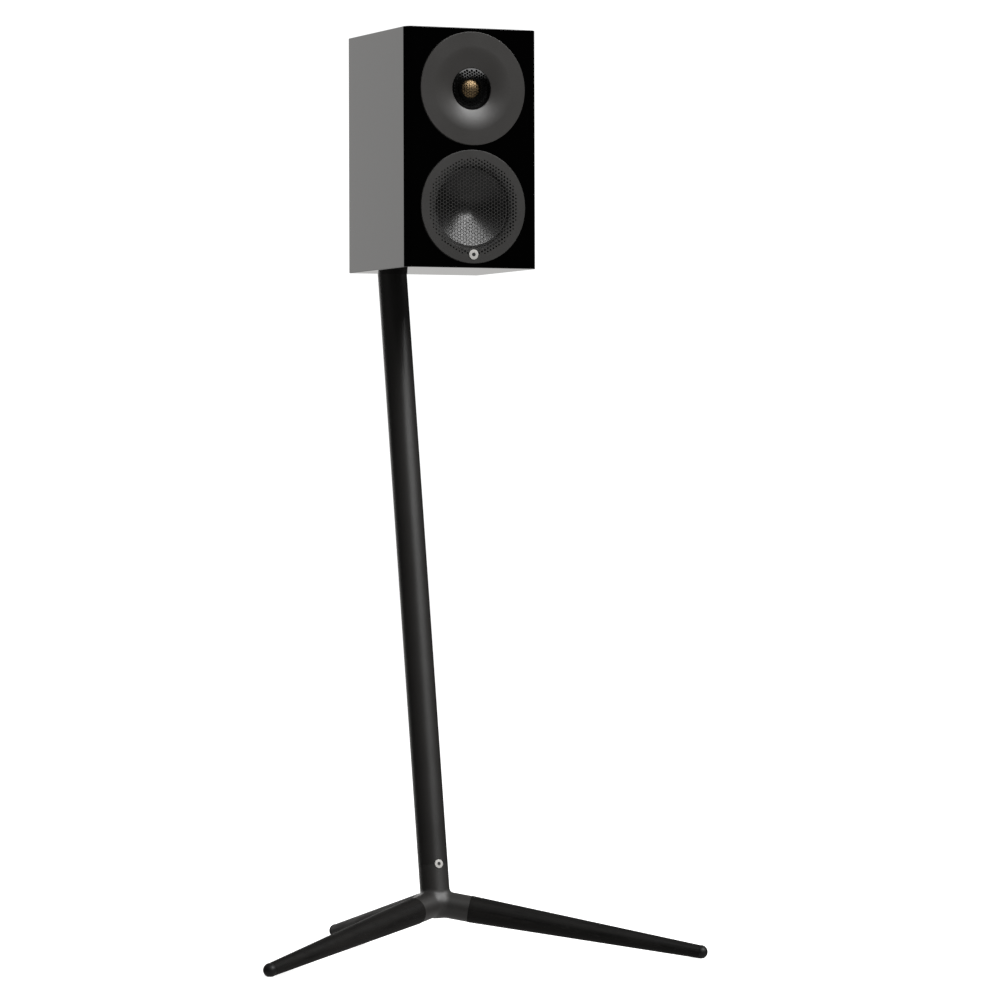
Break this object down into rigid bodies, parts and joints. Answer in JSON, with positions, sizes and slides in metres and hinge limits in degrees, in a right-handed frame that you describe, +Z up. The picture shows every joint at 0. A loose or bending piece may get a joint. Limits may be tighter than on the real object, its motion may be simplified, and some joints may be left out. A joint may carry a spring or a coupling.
{
  "type": "bookshelf speaker on stand",
  "caption": "Compact two-way loudspeaker with a perforated woofer grille and domed tweeter, hung on a slim leaning column with three tapered legs.",
  "frame": {"origin": "on the floor, in the middle of the box around the three feet", "axes": "+Z up, the loudspeaker's front faces -Y, +X is the viewer's right when facing the front"},
  "size_m": [0.5198, 0.4522, 1.0105],
  "materials": {
    "black_lacquer": "high-gloss black lacquer over board",
    "black_board": "matte black board",
    "raw_board": "raw board",
    "felt": "soft white felt",
    "charcoal_steel": "satin charcoal powder coat",
    "badge_metal": "satin",
    "cast_black": "matte black die casting",
    "black_rubber": "matte",
    "cone_aluminium": "black anodised, satin",
    "foil_aluminium": "satin foil",
    "spider_cloth": "resin-stiffened cloth",
    "copper_wire": "enamelled winding",
    "zinc_steel": "zinc plated",
    "ferrite": "matte dark grey",
    "charcoal_plastic": "satin charcoal",
    "black_mesh": "black, with fine six-sided holes",
    "gold_dome": "polished gold tone",
    "black_plastic": "matte black",
    "red_plastic": "translucent red",
    "black_gloss_plastic": "gloss black",
    "gold_plated": "gold plated",
    "board_green": "circuit board",
    "nylon": "natural nylon",
    "film_cap": "yellow film",
    "cement": "white cement",
    "lead_insulation": "dark red insulation",
    "black_steel": "black oxide",
    "column_powder": "fine black powder coat",
    "hub_cast": "dark grey satin casting",
    "stained_wood": "black stained, open grain"
  },
  "bodies": {
    "speaker_and_stand": {"cabinet_shell": "black_lacquer", "front_baffle": "black_lacquer", "rear_panel": "black_board", "window_brace": "raw_board", "damping_felt": "felt", "woofer_grille": "charcoal_steel", "driver_disc": "badge_metal", "woofer_basket": "cast_black", "woofer_gasket": "black_rubber", "woofer_surround": "black_rubber", "woofer_spider": "spider_cloth", "woofer_top_plate": "zinc_steel", "woofer_magnet": "ferrite", "woofer_yoke": "zinc_steel", "woofer_screws": "black_steel", "tweeter_waveguide": "charcoal_plastic", "tweeter_mesh": "black_mesh", "tweeter_surround": "black_rubber", "tweeter_plate": "black_plastic", "tweeter_magnet": "zinc_steel", "tweeter_pole": "zinc_steel", "tweeter_pot": "zinc_steel", "tweeter_rear_cup": "black_plastic", "tweeter_screws": "zinc_steel", "port_tube": "black_plastic", "terminal_cup": "black_plastic", "cup_screws": "black_steel", "post_studs": "gold_plated", "post_nuts": "gold_plated", "post_collars": "black_gloss_plastic", "crossover_board": "board_green", "board_spacers": "nylon", "inductors": "copper_wire", "capacitors": "film_cap", "resistors": "cement", "leads": "lead_insulation", "column_tube": "column_powder", "column_cap": "black_plastic", "column_plug": "zinc_steel", "hub": "hub_cast", "hub_bolt": "black_steel", "column_disc": "badge_metal", "leg_left": "stained_wood", "leg_right": "stained_wood", "leg_rear": "stained_wood", "leg_studs": "zinc_steel", "feet": "black_rubber", "mount_bracket": "black_steel", "bracket_bolts": "black_steel", "bracket_inserts": "zinc_steel"},
    "woofer_cone_group": {"woofer_cone": "cone_aluminium", "woofer_dust_cap": "cone_aluminium", "woofer_former": "foil_aluminium", "woofer_coil": "copper_wire"},
    "tweeter_dome_group": {"tweeter_dome": "gold_dome", "tweeter_coil": "copper_wire"},
    "washer_red": {"clamp_washer_red": "gold_plated"},
    "washer_black": {"clamp_washer_black": "gold_plated"},
    "knob_red": {"knob_red": "red_plastic"},
    "knob_black": {"knob_black": "black_gloss_plastic"}
  },
  "joints": [
    {"name": "woofer_stroke", "type": "slide", "parent": "speaker_and_stand", "child": "woofer_cone_group", "axis": [0, -1, 0], "range_m": [-0.004, 0.004], "stiffness_N_per_m": 1200, "deforming": ["woofer_surround", "woofer_spider"]},
    {"name": "tweeter_stroke", "type": "slide", "parent": "speaker_and_stand", "child": "tweeter_dome_group", "axis": [0, -1, 0], "range_m": [-0.0003, 0.0003], "stiffness_N_per_m": 3000, "deforming": ["tweeter_surround"]},
    {"name": "washer_red_travel", "type": "slide", "parent": "speaker_and_stand", "child": "washer_red", "axis": [0, 1, 0], "range_m": [0, 0.003]},
    {"name": "knob_red_turn", "type": "hinge", "parent": "washer_red", "child": "knob_red", "pos_m": [-0.017, -0.02495, 0.8755], "axis": [0, 1, 0], "range_deg": [0, 1080]},
    {"name": "washer_black_travel", "type": "slide", "parent": "speaker_and_stand", "child": "washer_black", "axis": [0, 1, 0], "range_m": [0, 0.003]},
    {"name": "knob_black_turn", "type": "hinge", "parent": "washer_black", "child": "knob_black", "pos_m": [0.017, -0.02495, 0.8755], "axis": [0, 1, 0], "range_deg": [0, 1080]}
  ],
  "couplings": [
    {"joint": "washer_red_travel", "follows": "knob_red_turn", "m_per_rad": 0.00015915},
    {"joint": "washer_black_travel", "follows": "knob_black_turn", "m_per_rad": 0.00015915}
  ]
}
